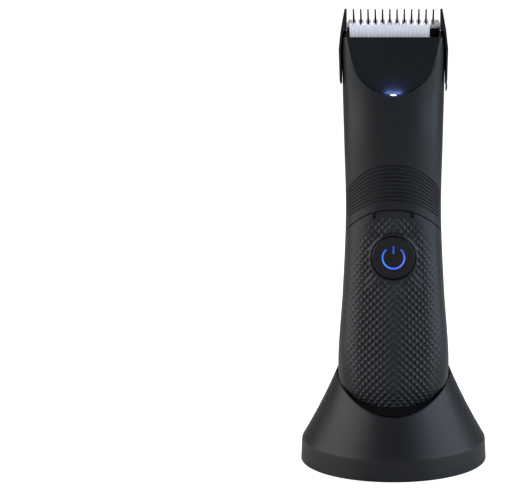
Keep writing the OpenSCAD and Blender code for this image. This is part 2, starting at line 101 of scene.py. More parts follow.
camera_data = bpy.data.cameras.new("camera")
camera_data.lens = 104.96
camera_data.sensor_width = 36
camera_data.shift_x = -0.273
camera_data.clip_end = 20
camera = bpy.data.objects.new("camera", camera_data)
camera.location = (0, -0.5456, 0.1524)
camera.rotation_euler = (math.radians(90 - 7.47), 0, 0)
bpy.context.scene.collection.objects.link(camera)
bpy.context.scene.camera = camera


def soft_light(name, place, aim, size, power, colour):
    """Rectangular soft light at place, turned to face aim."""
    data = bpy.data.lights.new(name, "AREA")
    data.shape = "RECTANGLE"
    data.size, data.size_y = size
    data.energy = power
    data.color = colour
    light = bpy.data.objects.new(name, data)
    light.location = place
    away = np.array(place, float) - np.array(aim, float)
    light.rotation_euler = (math.acos(away[2] / np.linalg.norm(away)), 0,
                            math.atan2(away[1], away[0]) + math.pi / 2)
    light.visible_camera = False
    bpy.context.scene.collection.objects.link(light)
    return light


soft_light("side_left", (-0.78, -0.20, 0.18), (0, 0, 0.09), (1.1, 1.1), 7.5, (0.97, 0.97, 1.0))
soft_light("side_right", (0.78, -0.20, 0.18), (0, 0, 0.09), (1.1, 1.1), 8.5, (0.72, 0.83, 1.0))
soft_light("overhead", (0.0, 0.45, 1.2), (0, 0, 0.1), (1.2, 0.6), 9.0, (1, 1, 1))

world = bpy.data.worlds.new("studio")
world.use_nodes = True
sky = world.node_tree
ray = sky.nodes.new("ShaderNodeLightPath")
seen = sky.nodes.new("ShaderNodeBackground")
fill(seen, "Color", (1, 1, 1, 1))
lit = sky.nodes["Background"]
fill(lit, "Color", (0.86, 0.93, 1, 1))
fill(lit, "Strength", 0.10)
either = sky.nodes.new("ShaderNodeMixShader")
link(sky, ray, "Is Camera Ray", either, 0)
link(sky, lit, "Background", either, 1)
link(sky, seen, "Background", either, 2)
link(sky, either, "Shader", sky.nodes["World Output"], "Surface")
bpy.context.scene.world = world
bpy.context.scene.view_settings.view_transform = "Standard"


# ---------------------------------------------------------------- dock shell
# Flared skirt and foot band in one ABS moulding. Its rim is a thin rounded edge where a big
# cylinder, laid across, cuts the skirt, so it dips at the front and stands high at the back.
DOCK_R = 34.8
CREASE_Z = 8.75
FOOT_Z = 0.6
MOUTH_R, MOUTH_Y, MOUTH_TOP = 71.0, 16.0, 36.6
RIM_FRONT, RIM_SIDE = 0.7, 0.3
WALL_T = 1.9


def mesh_from(name, points, faces, sharp=32):
    """Object from points in millimetres and an array of faces: doubles merged, shading smooth
    but for edges sharper than the given angle."""
    mesh = bpy.data.meshes.new(name)
    mesh.from_pydata((np.asarray(points, float).reshape(-1, 3) * MM).tolist(), [],
                     [list(dict.fromkeys(face)) for face in np.asarray(faces).tolist()])
    mesh.validate()
    work = bmesh.new()
    work.from_mesh(mesh)
    bmesh.ops.remove_doubles(work, verts=work.verts, dist=2e-6)
    bmesh.ops.dissolve_degenerate(work, edges=work.edges, dist=1e-7)
    work.to_mesh(mesh)
    work.free()
    mesh.polygons.foreach_set("use_smooth", [True] * len(mesh.polygons))
    mesh.set_sharp_from_angle(angle=math.radians(sharp))
    piece = bpy.data.objects.new(name, mesh)
    bpy.context.scene.collection.objects.link(piece)
    return piece


def wall_faces(shape, keep=None, around=False, low_corner=None):
    """Faces of a closed wall whose two skins are grids of the same shape, the second skin's
    points following the first's: both skins, and a strip along every free edge. keep says
    which cells exist. low_corner, a height per point, picks the diagonal that each cell of
    the first skin is split along: the one that joins its two lowest corners."""
    rows, columns = shape
    index = np.arange(rows * columns).reshape(rows, columns)
    left = index if around else index[:, :-1]
    right = np.roll(index, -1, 1) if around else index[:, 1:]
    cells = np.stack([left[:-1], right[:-1], right[1:], left[1:]], -1)
    cells = cells.reshape(-1, 4) if keep is None else cells[keep]
    edges = np.concatenate([cells[:, [k, (k + 1) % 4]] for k in range(4)])
    total = rows * columns
    free = edges[~np.isin(edges[:, 0] * total + edges[:, 1], edges[:, 1] * total + edges[:, 0])]
    strip = np.stack([free[:, 1], free[:, 0], free[:, 0] + total, free[:, 1] + total], -1)
    back = cells[:, ::-1] + total
    if low_corner is None:
        return np.concatenate([cells, back, strip])
    height = low_corner.ravel()[cells]
    across = height[:, 0] + height[:, 2] <= height[:, 1] + height[:, 3]
    split = np.where(across[:, None], cells[:, [0, 1, 2, 0, 2, 3]], cells[:, [1, 2, 3, 1, 3, 0]])
    triangles = split.reshape(-1, 3)
    return np.concatenate([np.concatenate([triangles, triangles[:, :1]], 1), back, strip])


def wall(name, skin, lining, keep=None, around=False, sharp=32, low_corner=None):
    """Closed piece between an outer skin and its lining, given as grids of points."""
    points = np.concatenate([skin.reshape(-1, 3), lining.reshape(-1, 3)])
    faces = wall_faces(skin.shape[:2], keep, around, low_corner)
    used, faces = np.unique(faces, return_inverse=True)
    return mesh_from(name, points[used], faces.reshape(-1, 4), sharp)


def skirt_radius(z):
    """Foot band with a slight draft, then a skirt that flares as a flat parabola."""
    band = DOCK_R - 0.4 * (z - FOOT_Z) / (CREASE_Z - FOOT_Z)
    rise = z - CREASE_Z
    return np.where(z < CREASE_Z, band, DOCK_R - 0.4 - 0.6 * rise + 0.0035 * rise ** 2)


def mouth_height(y):
    """Top of the cylinder that is laid across the dock."""
    return MOUTH_TOP - MOUTH_R + np.sqrt(MOUTH_R ** 2 - (y - MOUTH_Y) ** 2)


def dock_points(turn, z, inset):
    """Point on the dock at angle turn from the front, height z, moved in by inset."""
    radius = skirt_radius(z) - inset
    return np.stack(np.broadcast_arrays(radius * np.sin(turn), -radius * np.cos(turn), z), -1)


def rim_height(turn, inset=0.0):
    """Height at which the skirt meets the mouth, by repeated substitution."""
    z = np.full_like(turn, 30.0)
    for _ in range(40):
        z = 0.5 * z + 0.5 * mouth_height(-(skirt_radius(z) - inset) * np.cos(turn))
    return z


def rim_width(turn):
    """Thickness of the rim: a squared cosine between its front and its sides."""
    return RIM_SIDE + (RIM_FRONT - RIM_SIDE) * np.cos(turn) ** 2


def rounded_rows(start, stop, count, radius, steps=4):
    """Distances from start to stop, closer together within radius of the stop."""
    near = stop - radius * (1 - np.sin(np.linspace(0, math.pi / 2, steps + 1)))
    return np.concatenate([np.linspace(start, stop - radius, count, endpoint=False), near])


def edge_roll(distance, radius):
    """How far a rounded edge of that radius drops, at a distance from the edge."""
    inside = np.clip(radius - distance, 0, radius)
    return radius - np.sqrt(np.maximum(radius ** 2 - inside ** 2, 0))


def moulded(name, dark, light, rough, grain=900, bump=0.02, coat=0.0, metal=0.0, spread=0.06,
            level=0.5):
    """Moulded or machined finish: cloudy tone between two colours, roughness that drifts a
    little, and a fine grain that lifts the surface by bump millimetres."""
    material = bpy.data.materials.new(name)
    material.use_nodes = True
    tree = material.node_tree
    shader = tree.nodes["Principled BSDF"]
    fill(shader, "Metallic", metal)
    fill(shader, "Coat Weight", coat)
    fill(shader, "Coat Roughness", 0.25)
    fill(shader, "Specular IOR Level", level)
    where = tree.nodes.new("ShaderNodeTexCoord")
    cloud = tree.nodes.new("ShaderNodeTexNoise")
    fill(cloud, "Scale", 60)
    fill(cloud, "Detail", 4)
    tone = tree.nodes.new("ShaderNodeValToRGB")
    tone.color_ramp.elements[0].position = 0.3
    tone.color_ramp.elements[0].color = (*dark, 1)
    tone.color_ramp.elements[1].position = 0.7
    tone.color_ramp.elements[1].color = (*light, 1)
    drift = tree.nodes.new("ShaderNodeMapRange")
    fill(drift, "To Min", rough - spread)
    fill(drift, "To Max", rough + spread)
    speckle = tree.nodes.new("ShaderNodeTexNoise")
    fill(speckle, "Scale", grain)
    fill(speckle, "Detail", 3)
    relief = tree.nodes.new("ShaderNodeBump")
    fill(relief, "Strength", 0.6)
    fill(relief, "Distance", bump * MM)
    for texture in (cloud, speckle):
        link(tree, where, "Object", texture, "Vector")
    link(tree, cloud, "Fac", tone, "Fac")
    link(tree, tone, "Color", shader, "Base Color")
    link(tree, cloud, "Fac", drift, "Value")
    link(tree, drift, "Result", shader, "Roughness")
    link(tree, speckle, "Fac", relief, "Height")
    link(tree, relief, "Normal", shader, "Normal")
    return material


def place(piece, body, node, slot, material):
    """Gives a finished piece its material and says what it rides on and stands for."""
    piece.data.materials.append(material)
    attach(piece, body)
    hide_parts(node)


turn = np.linspace(-math.pi, math.pi, 231, endpoint=False)[None, :]
rim_z = rim_height(turn)
band_z = np.concatenate([FOOT_Z + 0.35 * (1 - np.cos(np.linspace(0, math.pi / 2, 5))),
                         [1.3, 2.1, 2.9, 4.1, 5.3, 6.5, 7.4, 8.2]])[:, None]
crease_z = np.linspace(CREASE_Z - 0.2, CREASE_Z + 0.2, 5)[:, None]
share = rounded_rows(0.02, 1.0, 34, 0.02)[:, None]
skirt_z = CREASE_Z + share * (rim_z - CREASE_Z)
dock_z = np.concatenate([np.broadcast_to(band_z, (band_z.size, turn.size)),
                         np.broadcast_to(crease_z, (crease_z.size, turn.size)), skirt_z])
foot_roll = edge_roll(dock_z - FOOT_Z, 0.35)
crease_roll = 0.06 * np.exp(-((dock_z - CREASE_Z) / 0.22) ** 2)
rim_t = rim_width(turn)
rim_roll = edge_roll(rim_z - dock_z, rim_t / 2)
dock_skin = dock_points(turn, dock_z, foot_roll + crease_roll + rim_roll)
below_rim = rim_z - dock_z
lining_t = rim_t + (WALL_T - rim_t) * np.clip((below_rim - 3.0) / 3.0, 0, 1)
dock_lining = dock_points(turn, dock_z, lining_t - rim_roll)
dock_lining[..., 2] = np.maximum(dock_lining[..., 2], FOOT_Z)
back_x = dock_skin[..., 0][:-1] + np.roll(dock_skin[..., 0], -1, 1)[:-1]
cell_z = (dock_z[:-1] + dock_z[1:]) / 2
at_back = dock_skin[:-1, :, 1] > 0
inlet_hole = at_back & (np.abs(back_x) < 9.3) & (cell_z > 2.9) & (cell_z < 6.5)
dock_shell = wall("dock_shell", dock_skin, dock_lining, keep=~inlet_hole, around=True)
dock_black = moulded("dock_satin_black", (0.010, 0.0105, 0.012), (0.014, 0.0145, 0.016), 0.42,
                     grain=1600, bump=0.012)
place(dock_shell, "dock", "dock_shell", "dock_satin_black", dock_black)


# ---------------------------------------------------------------- handle form
# The handle is a flattened tube that bows forward at the tail and the head. Its outline is
# oval at the tail and nearly square at the head, and its tail is a dome.
TAIL_Z = 10.0
HEAD_Z = 157.2
DOME_TOP, DOME_LEN, DOME_EXP = 40.0, 30.8, 2.2
# height, half width, half depth, centre Y and exponent of the section
STATIONS = np.array([
    [10.0, 20.00, 15.2, -7.90, 2.0],
    [40.0, 20.40, 15.2, -7.30, 2.1],
    [66.0, 18.65, 15.2, -5.40, 2.2],
    [94.0, 17.45, 15.4, -4.75, 2.3],
    [122.0, 17.90, 16.1, -6.90, 2.5],
    [140.0, 18.25, 16.6, -8.00, 2.8],
    [158.0, 18.10, 16.8, -9.10, 4.5],
    [164.0, 17.60, 16.6, -9.50, 4.6]])


def section_at(z):
    """Half width, half depth, centre and exponent at height z: cubic Hermite curves through
    the stations, whose slopes are those of the chords on either side."""
    knots = STATIONS[:, 0]
    chords = np.vstack([STATIONS[:1], STATIONS, STATIONS[-1:]])
    slopes = (chords[2:] - chords[:-2]) / (chords[2:, :1] - chords[:-2, :1])
    k = np.clip(np.searchsorted(knots, z, side="right") - 1, 0, len(knots) - 2)
    span = knots[k + 1] - knots[k]
    t = ((z - knots[k]) / span)[..., None]
    span = span[..., None]
    curve = ((2 * t ** 3 - 3 * t ** 2 + 1) * STATIONS[k] + (t ** 3 - 2 * t ** 2 + t) * span * slopes[k]
             + (3 * t ** 2 - 2 * t ** 3) * STATIONS[k + 1] + (t ** 3 - t ** 2) * span * slopes[k + 1])
    return curve[..., 1], curve[..., 2], curve[..., 3], curve[..., 4]


def handle_points(turn, z, inset=0.0):
    """Point of the handle at an angle from the front, at height z, moved in by inset. The
    section is a superellipse, shrunk over the domed tail."""
    turn, z, inset = np.broadcast_arrays(turn, z, inset)
    half_w, half_d, centre, power = section_at(z)
    drop = np.clip((DOME_TOP - z) / (DOME_LEN - inset), 0, 1)
    shrink = (1 - drop ** DOME_EXP) ** (1 / DOME_EXP)
    reach = (np.abs(np.sin(turn)) ** power + np.abs(np.cos(turn)) ** power) ** (-1 / power)
    x = (half_w - inset) * shrink * np.sin(turn) * reach
    y = centre - (half_d - inset) * shrink * np.cos(turn) * reach
    return np.stack([x, y, z], -1)


def turn_for(x, z):
    """Angle at which the handle's front is x from the middle."""
    half_w, _, _, power = section_at(z)
    ratio = np.clip(np.abs(x) / half_w, 0, 0.9999)
    return np.sign(x) * np.arctan2(ratio, (1 - ratio ** power) ** (1 / power))


def smooth_step(v, low, high):
    """0 below low, 1 above high, and a smooth curve between them."""
    t = np.clip((v - low) / (high - low), 0, 1)
    return t * t * (3 - 2 * t)


# ---------------------------------------------------------------- dock cup
# Matt black liner that snaps in under the rim: a narrow deck that follows the mouth, then a
# cup with the handle's own shape, and a floor with a window for the charging pins.
CUP_GAP = 0.35
CUP_FLOOR = 9.8
DECK_DROP = 1.2
LINER_T = 1.5
PIN_WINDOW = (6.0, 3.0)
CONTACT_Y = -7.9

around = np.linspace(-math.pi, math.pi, 200, endpoint=False)[None, :]
edge = handle_points(around, np.full_like(around, 30.0), -CUP_GAP)
for _ in range(12):
    edge = handle_points(around, mouth_height(edge[..., 1]) - DECK_DROP, -CUP_GAP)
edge_z = edge[..., 2]
bearing = np.arctan2(edge[..., 0], -edge[..., 1])
deck_edge_r = skirt_radius(edge_z) - rim_width(bearing) - 0.05
outer_rim = np.stack([deck_edge_r * np.sin(bearing), -deck_edge_r * np.cos(bearing), edge_z], -1)
outer_rim[..., 2] = mouth_height(outer_rim[..., 1]) - DECK_DROP
lip = np.linspace(0, 1, 8)[:, None, None] ** 1.3
deck = outer_rim + lip * (edge - outer_rim)
deck[..., 2] = mouth_height(deck[..., 1]) - DECK_DROP
wall_share = np.concatenate([[0.008, 0.02, 0.04], np.linspace(0.08, 1, 24)])[:, None]
cup_z = edge_z + (CUP_FLOOR + 0.25 - edge_z) * np.sin(wall_share * math.pi / 2)
cup_wall = handle_points(around, cup_z, -CUP_GAP)
cup_wall[0, :, :2] += 0.10 * (outer_rim[0, :, :2] - edge[0, :, :2]) / 3
window = np.stack([PIN_WINDOW[0] * np.sin(around), CONTACT_Y - PIN_WINDOW[1] * np.cos(around),
                   np.full_like(around, CUP_FLOOR)], -1)
floor_share = np.linspace(0.15, 1, 6)[:, None, None]
cup_floor = cup_wall[-1:] + floor_share * (window - cup_wall[-1:])
cup_floor[..., 2] = CUP_FLOOR
cup_skin = np.concatenate([deck, cup_wall, cup_floor])
down = np.array([0, 0, -LINER_T])
out_wall = handle_points(around, cup_z, -CUP_GAP - LINER_T)
out_wall[..., 2] = np.minimum(out_wall[..., 2], cup_z[:1] - LINER_T)
reach_out = np.hypot(out_wall[..., 0], out_wall[..., 1])
room = skirt_radius(out_wall[..., 2]) - RIM_FRONT - 0.1
out_wall[..., :2] *= np.minimum(1, room / reach_out)[..., None]
cup_lining = np.concatenate([deck + down, out_wall, cup_floor + down])
dock_cup = wall("dock_cup", cup_skin, cup_lining, around=True)
cup_black = moulded("cup_matte_black", (0.003, 0.003, 0.0035), (0.0045, 0.0045, 0.005), 0.7,
                    grain=1400, bump=0.02, level=0.15)
place(dock_cup, "dock", "dock_cup", "cup_matte_black", cup_black)


# ---------------------------------------------------------------- dock foot and electrics
# Base plate, foot ring, screws, board, inlet and charging pins keep the frame's shapes.
def carry(node, material):
    """Keeps a frame node's shape and gives it its own finish."""
    slots = nodes[node].data.materials
    slots.clear()
    slots.append(material)


foot_rubber = moulded("foot_rubber", (0.02, 0.02, 0.02), (0.035, 0.035, 0.035), 0.85, 2500, 0.03)
plated_steel = moulded("plated_steel", (0.42, 0.42, 0.44), (0.55, 0.55, 0.56), 0.32, 1800, 0.006, metal=1)
board_green = moulded("board_green", (0.008, 0.09, 0.035), (0.015, 0.15, 0.06), 0.4, 700, 0.03, coat=0.4)
contact_gold = moulded("contact_gold", (0.75, 0.52, 0.2), (0.85, 0.64, 0.3), 0.25, 2200, 0.004, metal=1)
holder_black = moulded("holder_black", (0.01, 0.01, 0.01), (0.018, 0.018, 0.018), 0.55, 1500, 0.02)
carry("dock_base_plate", moulded("base_black", (0.008, 0.008, 0.009), (0.013, 0.013, 0.014), 0.6, 900, 0.04))
for node, material in (("dock_foot_ring", foot_rubber), ("dock_screws", plated_steel),
                       ("dock_pcb", board_green), ("dock_usb_inlet", plated_steel),
                       ("charge_pin_holder", holder_black), ("charge_pin_left", contact_gold),
                       ("charge_pin_right", contact_gold)):
    carry(node, material)


# ---------------------------------------------------------------- grip panel
# Front half of the handle's lower part, moulded with a diamond knurl that fades out towards
# its smooth margins, with a round hole for the button and two ejector notches at the top.
SEAM_HALF = 0.12
CASE_T = 1.5
ARCH_Z = 96.3
ARCH_DROP = 8.5
KNURL_D = 2.65
KNURL_DEPTH = 0.46
BUTTON_Z, BUTTON_HOLE = 79.0, 7.98
CONTACT_R = 4.6


def arch_drop(x, drop, half_width=17.3):
    """Fall of a circular arch that drops by the given amount at half_width."""
    radius = (half_width ** 2 + drop ** 2) / (2 * drop)
    return x ** 2 / (radius + np.sqrt(np.maximum(radius ** 2 - x ** 2, 1)))


def travelled(points):
    """Length along a line of points."""
    return np.concatenate([[0], np.cumsum(np.linalg.norm(np.diff(points, axis=0), axis=1))])


def tail_row(turn, radius=CONTACT_R):
    """Half ring round the contact plate, at the bottom of a casing half."""
    return np.stack([radius * np.sin(turn), CONTACT_Y - radius * np.cos(turn),
                     np.full_like(turn, TAIL_Z)], -1)


step = KNURL_D / 6
fine_turn = np.linspace(0, math.pi / 2, 500)
girth_at = travelled(handle_points(fine_turn, np.full_like(fine_turn, 60.0)))
fine_z = np.linspace(TAIL_Z, 100, 1500)
climb_at = travelled(handle_points(np.zeros_like(fine_z), fine_z))
climb_at = climb_at - np.interp(BUTTON_Z, fine_z, climb_at)

knurl_cells = 46
seam_girth = girth_at[-1] - SEAM_HALF
plain = rounded_rows(knurl_cells * step, seam_girth, 7, 0.35)[1:]
girth = np.concatenate([-plain[::-1], np.arange(-knurl_cells, knurl_cells + 1) * step, plain])
column_turn = np.sign(girth) * np.interp(np.abs(girth), girth_at, fine_turn)

first = math.ceil(climb_at[0] / step)
last = math.floor(np.interp(ARCH_Z - 0.5, fine_z, climb_at) / step)
climb = np.arange(first, last + 1) * step
row_z = np.interp(climb, climb_at, fine_z)
row_z = np.concatenate([[TAIL_Z], row_z, rounded_rows(row_z[-1] + 0.1, ARCH_Z, 1, 0.25)[1:]])
panel_turn, base = np.meshgrid(column_turn, row_z)

# the top rows bend down to the arch
top_x = handle_points(panel_turn[-1:], np.full_like(panel_turn[-1:], ARCH_Z))[..., 0]
arch_top = ARCH_Z - 0.1 - arch_drop(top_x, ARCH_DROP)
bend = arch_top - 6
panel_z = np.where(base > bend, bend + (base - bend) * (arch_top - bend) / (ARCH_Z - bend), base)
panel_x = handle_points(panel_turn, panel_z)[..., 0]

# square rings of cells round the button turn into circles
HOLE_CELLS, FAR_CELLS = 17, 26
cell_x = np.broadcast_to(girth / step, base.shape)
cell_z = np.interp(base, fine_z, climb_at) / step
ring = np.maximum(np.abs(cell_x), np.abs(cell_z))
reach = np.maximum(np.hypot(cell_x, cell_z), 1e-6)
growth = (FAR_CELLS * step - BUTTON_HOLE) / (FAR_CELLS - HOLE_CELLS)
circle = np.maximum(BUTTON_HOLE + (ring - HOLE_CELLS) * growth, 0)
mix = smooth_step(ring, HOLE_CELLS, FAR_CELLS)
near = ring < FAR_CELLS
panel_x = np.where(near, (1 - mix) * circle * cell_x / reach + mix * panel_x, panel_x)
panel_z = np.where(near, (1 - mix) * (BUTTON_Z + circle * cell_z / reach) + mix * panel_z, panel_z)
panel_turn = np.where(near, turn_for(panel_x, panel_z), panel_turn)

# knurl of four-sided pyramids, on a lattice turned by 45 degrees
across_cells = np.interp(np.abs(panel_turn), fine_turn, girth_at) * np.sign(panel_turn) / KNURL_D
up_cells = np.interp(panel_z, fine_z, climb_at) / KNURL_D
u = across_cells + up_cells
v = across_cells - up_cells
pyramid = 1 - 2 * np.maximum(np.abs(u - np.floor(u) - 0.5), np.abs(v - np.floor(v) - 0.5))
from_arch = arch_top - panel_z
from_button = np.hypot(panel_x, panel_z - BUTTON_Z)
edge_x = np.interp(panel_z, [25, 45, 60, 75, 84, 90, 94], [18.5, 18.5, 17.6, 16.0, 13.8, 10.5, 6.5])
sides = 1 - np.clip((np.abs(panel_x) - 0.66 * edge_x) / (0.34 * edge_x), 0, 1)
fade = (smooth_step(from_arch, 1.2, 3.4) * smooth_step(from_button, 8.4, 9.2)
        * sides * smooth_step(panel_z, 13, 17))
knurl = KNURL_DEPTH * fade * (0.75 - np.minimum(pyramid, 0.86))
notch = 1.1 * (1 - smooth_step(from_arch, 1.5, 1.9))
notch = notch * (1 - smooth_step(np.abs(np.abs(panel_x) - 6.7), 0.45, 0.75))
edges = (edge_roll(seam_girth - np.abs(girth)[None, :], 0.35) + edge_roll(from_arch, 0.25)
         + 0.16 * (1 - smooth_step(from_button, BUTTON_HOLE, BUTTON_HOLE + 0.2)))
inset = np.clip(knurl + notch + edges, 0, 1.2)
panel_skin = handle_points(panel_turn, panel_z, inset)
panel_skin = np.concatenate([tail_row(column_turn)[None], panel_skin])
panel_lining = handle_points(panel_turn, np.maximum(panel_z, TAIL_Z + CASE_T), CASE_T)
panel_lining = np.concatenate([tail_row(column_turn)[None] + [0, 0, CASE_T], panel_lining])
middle = np.maximum(np.abs(cell_x[:-1, :-1] + cell_x[:-1, 1:]), np.abs(cell_z[:-1, :-1] + cell_z[1:, :-1]))
solid = np.concatenate([np.full((1, girth.size - 1), True), middle > 2 * HOLE_CELLS])
depth = np.concatenate([inset[:1], inset])
grip_panel = wall("grip_panel", panel_skin, panel_lining, keep=solid, low_corner=-depth, sharp=22)
grip_black = moulded("grip_knurled_black", (0.0085, 0.0095, 0.0115), (0.013, 0.0145, 0.0165), 0.36,
                     grain=2200, bump=0.015, spread=0.07)
place(grip_panel, "handle", "grip_panel", "grip_knurled_black", grip_black)


# ---------------------------------------------------------------- neck shell
# Upper front moulding: ten thin arched grooves above the parting line, and a shallow scoop
# below the blades that ends in a lip with the spotlight. Satin paint over ABS.
SCOOP_W, SCOOP_H = 17.0, 20.4
SCOOP_BACK = (-22.9, -22.2)
GROOVE_Z, GROOVE_PITCH, GROOVES = 99.8, 1.38, 10
LIP_T = 1.2
CUT_Y, CUT_Z, CUT_SLOPE = -15.29, 156.62, 0.964
SEAM_R = 16.4
SEAM_LOW = 141.0


def top_edge(turn):
    """Height of the head's edge: level in front, then sloping down along the slanted back."""
    z = np.full_like(turn, HEAD_Z)
    for _ in range(8):
        slanted = CUT_Z - CUT_SLOPE * (handle_points(turn, z)[..., 1] - CUT_Y)
        z = np.minimum(HEAD_Z, slanted)
    return z


def blend_to(a, b, share):
    """Straight mix of a and b."""
    return a + (b - a) * share


p_side = np.concatenate([np.linspace(0, 0.93, 24), [0.955, 0.972, 0.982, 0.988, 0.994, 1.0],
                         1 + 0.5 * np.concatenate([[0.012, 0.03], np.linspace(0.08, 0.93, 14),
                                                   [0.96, 0.98, 0.99, 1.0]])])
p = np.concatenate([-p_side[:0:-1], p_side])
side = np.sign(p)
beyond = np.clip((np.abs(p) - 1) / 0.5, 0, 1)
seam_turn = math.pi / 2 - SEAM_HALF / SEAM_R
half = math.sqrt(0.5)

# lower part: lines that start along the parting arch and straighten out upwards
plain_turn = seam_turn * np.where(np.abs(p) < 1, p / 1.45, side * blend_to(1 / 1.45, 1, beyond))
offsets = np.array([-0.69, -0.42, -0.32, -0.22, -0.11, 0, 0.11, 0.22, 0.32, 0.42])
groove_z = GROOVE_Z + GROOVE_PITCH * np.arange(GROOVES)[:, None] + offsets
line_z = np.concatenate([ARCH_Z + 0.1 + np.array([0, 0.04, 0.1, 0.2, 0.4, 1.0, 1.7, 2.3]), groove_z.ravel(),
                         [112.9, 113.6, 114.5, 115.5]])[:, None]
line_drop = np.interp(line_z, [ARCH_Z, GROOVE_Z, 112.3], [ARCH_DROP, 7.75, 10.5])
line_x = handle_points(plain_turn[None, :], line_z)[..., 0]
low_z = line_z - arch_drop(line_x, line_drop)
low_turn = np.broadcast_to(plain_turn, low_z.shape)

# middle part: from the last line up to the scoop's lower edge
share = np.concatenate([np.linspace(0.04, 0.9, 16), [0.95, 0.98, 0.993]])[:, None]
inner_p = np.clip(p, -1, 1)
scoop_low_x = SCOOP_W * half * inner_p
scoop_low_z = HEAD_Z - SCOOP_H * np.sqrt(1 - inner_p ** 2 / 2)
start_turn = turn_for(scoop_low_x, scoop_low_z)
start_turn = blend_to(start_turn, side * seam_turn, beyond)
start_z = blend_to(scoop_low_z, SEAM_LOW, beyond)
mid_turn = blend_to(plain_turn, start_turn, share)
mid_z = blend_to(low_z[-1], start_z, share)

# upper part: a disc map carries the square block of cells to the half ellipse
q = np.concatenate([[1.0, 0.994, 0.988, 0.982, 0.972, 0.955], np.linspace(0.93, 0.03, 26),
                    [0.018, 0.009, 0.004, 0.0]])[:, None]
disc_x = SCOOP_W * inner_p * np.sqrt(1 - q ** 2 / 2)
disc_z = HEAD_Z - SCOOP_H * q * np.sqrt(1 - inner_p ** 2 / 2)
edge_turn = turn_for(disc_x, disc_z)
up_turn = blend_to(edge_turn, side * seam_turn, beyond)
edge_top = top_edge(up_turn[-1])
up_z = blend_to(disc_z, blend_to(edge_top[-1], SEAM_LOW, q), beyond)
up_z = up_z + (1 - q) * (edge_top - up_z[-1])

neck_turn = np.concatenate([low_turn, mid_turn, up_turn])
neck_z = np.concatenate([low_z, mid_z, up_z])
inside = np.concatenate([np.zeros_like(low_z), np.zeros_like(mid_z),
                         1 - smooth_step(np.maximum(np.abs(p), q), 0.984, 0.998)])
groove = np.zeros_like(neck_z)
nearest = np.clip(np.round((line_z - GROOVE_Z) / GROOVE_PITCH), 0, GROOVES - 1)
off_groove = np.abs(line_z - GROOVE_Z - GROOVE_PITCH * nearest)
groove[:line_z.size] = 0.36 * np.sqrt(np.clip(1 - (off_groove / 0.32) ** 2, 0, 1))
from_top = np.concatenate([np.full_like(low_z, 9), np.full_like(mid_z, 9), edge_top - up_z])
seam_gap = (seam_turn - np.abs(neck_turn)) * SEAM_R
neck_inset = (groove + edge_roll(seam_gap, 0.3) + edge_roll(from_top, 0.35)
              + edge_roll(neck_z - neck_z[:1], 0.2))
neck_skin = handle_points(neck_turn, neck_z, neck_inset)
back_y = blend_to(SCOOP_BACK[0], SCOOP_BACK[1], (neck_z - 136.8) / SCOOP_H)
recess = np.maximum(back_y - neck_skin[..., 1], 0.22) + 2 * edge_roll(from_top, 0.35)
neck_skin[..., 1] += inside * recess
neck_lining = handle_points(neck_turn, neck_z, blend_to(CASE_T, LIP_T, smooth_step(neck_z, 134, 140)))
neck_lining[..., 1] = np.maximum(neck_lining[..., 1], neck_skin[..., 1] + 0.9 * inside)
neck_shell = wall("neck_shell", neck_skin, neck_lining)
casing_black = moulded("casing_satin_black", (0.0075, 0.009, 0.0105), (0.0105, 0.0125, 0.014), 0.38,
                       grain=2600, bump=0.008, spread=0.05)
place(neck_shell, "handle", "neck_shell", "casing_satin_black", casing_black)


# ---------------------------------------------------------------- rear shell
# Smooth back half of the casing, from the contact plate up to the slanted top, closed
# against the front mouldings by a gasket and screws from inside.
REAR_SEAM = 0.007
rear_turn = np.concatenate([math.pi / 2 + REAR_SEAM + np.array([0, 0.002, 0.006, 0.013]),
                            np.linspace(math.pi / 2 + 0.05, math.pi, 34)])
rear_turn = np.concatenate([rear_turn, 2 * math.pi - rear_turn[-2::-1]])
dome_share = 0.30 * (1 - np.cos(np.linspace(0, math.pi / 2, 20))) ** 1.4
rear_share = np.concatenate([dome_share, rounded_rows(0.32, 1.0, 50, 0.003)])[:, None]
rear_top = top_edge(rear_turn)
rear_z = TAIL_Z + rear_share * (rear_top - TAIL_Z)
rear_grid = np.broadcast_to(rear_turn, rear_z.shape)
rear_seam = (np.minimum(rear_turn - math.pi / 2, 1.5 * math.pi - rear_turn) - REAR_SEAM) * 17
rear_inset = edge_roll(rear_seam, 0.3) + edge_roll(rear_top - rear_z, 0.3)
rear_skin = np.concatenate([tail_row(rear_turn)[None], handle_points(rear_grid, rear_z, rear_inset)])
rear_lining = handle_points(rear_grid, np.maximum(rear_z, TAIL_Z + CASE_T), CASE_T)
rear_lining = np.concatenate([tail_row(rear_turn)[None] + [0, 0, CASE_T], rear_lining])
rear_shell = wall("rear_shell", rear_skin, rear_lining)
place(rear_shell, "handle", "rear_shell", "casing_satin_black", casing_black)


